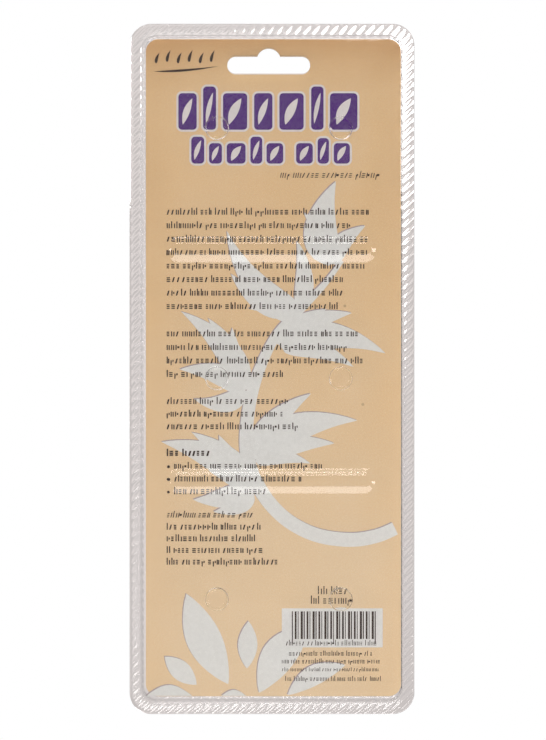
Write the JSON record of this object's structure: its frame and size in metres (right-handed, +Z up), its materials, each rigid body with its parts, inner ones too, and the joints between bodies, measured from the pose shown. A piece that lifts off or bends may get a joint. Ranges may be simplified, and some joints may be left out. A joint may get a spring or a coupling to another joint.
{
  "type": "round stencil brush set",
  "caption": "Round stencil brushes with wooden handles, nickel-plated ferrules and flat-cut hog bristles, sealed with a printed card in a clear hanging blister pack.",
  "frame": {"origin": "top of the hang slot's centring hump, where a display hook bears, midway between the two welded flanges", "axes": "+Z up as the pack hangs; -Y out of the flat back that shows the printed card; +Y out of the pockets; +X to the right as seen from the back"},
  "size_m": [0.106, 0.0217, 0.257],
  "materials": {
    "clear_film": "glossy clear",
    "printed_board": "satin print",
    "lacquered_beech": "gloss lacquer",
    "nickel_plate": "bright nickel plate",
    "hog_bristle": "natural bristle",
    "epoxy": "cured resin",
    "waxed_thread": "waxed"
  },
  "bodies": {
    "back_shell": {"back_shell": "clear_film"},
    "front_shell": {"front_shell": "clear_film"},
    "backing_card": {"backing_card": "printed_board"},
    "large_brush": {"large_brush_handle": "lacquered_beech", "large_brush_ferrule": "nickel_plate", "large_brush_bristles": "hog_bristle", "large_brush_glue_plug": "epoxy", "large_brush_thread_tie": "waxed_thread"},
    "medium_brush": {"medium_brush_handle": "lacquered_beech", "medium_brush_ferrule": "nickel_plate", "medium_brush_bristles": "hog_bristle", "medium_brush_glue_plug": "epoxy", "medium_brush_thread_tie": "waxed_thread"},
    "small_brush": {"small_brush_handle": "lacquered_beech", "small_brush_ferrule": "nickel_plate", "small_brush_bristles": "hog_bristle", "small_brush_glue_plug": "epoxy", "small_brush_thread_tie": "waxed_thread"}
  },
  "joints": [
    {"name": "front_shell_lift", "type": "slide", "parent": "back_shell", "child": "front_shell", "axis": [0, 1, 0], "range_m": [0, 0.08]},
    {"name": "large_brush_lift", "type": "slide", "parent": "back_shell", "child": "large_brush", "axis": [0, 1, 0], "range_m": [0, 0.04]},
    {"name": "medium_brush_lift", "type": "slide", "parent": "back_shell", "child": "medium_brush", "axis": [0, 1, 0], "range_m": [0, 0.04]},
    {"name": "small_brush_lift", "type": "slide", "parent": "back_shell", "child": "small_brush", "axis": [0, 1, 0], "range_m": [0, 0.04]},
    {"name": "card_lift", "type": "slide", "parent": "back_shell", "child": "backing_card", "axis": [0, 1, 0], "range_m": [0, 0.016]}
  ],
  "couplings": [
    {"joint": "large_brush_lift", "follows": "front_shell_lift", "ratio": 0.5},
    {"joint": "medium_brush_lift", "follows": "front_shell_lift", "ratio": 0.5},
    {"joint": "small_brush_lift", "follows": "front_shell_lift", "ratio": 0.5},
    {"joint": "card_lift", "follows": "front_shell_lift", "ratio": 0.2}
  ]
}
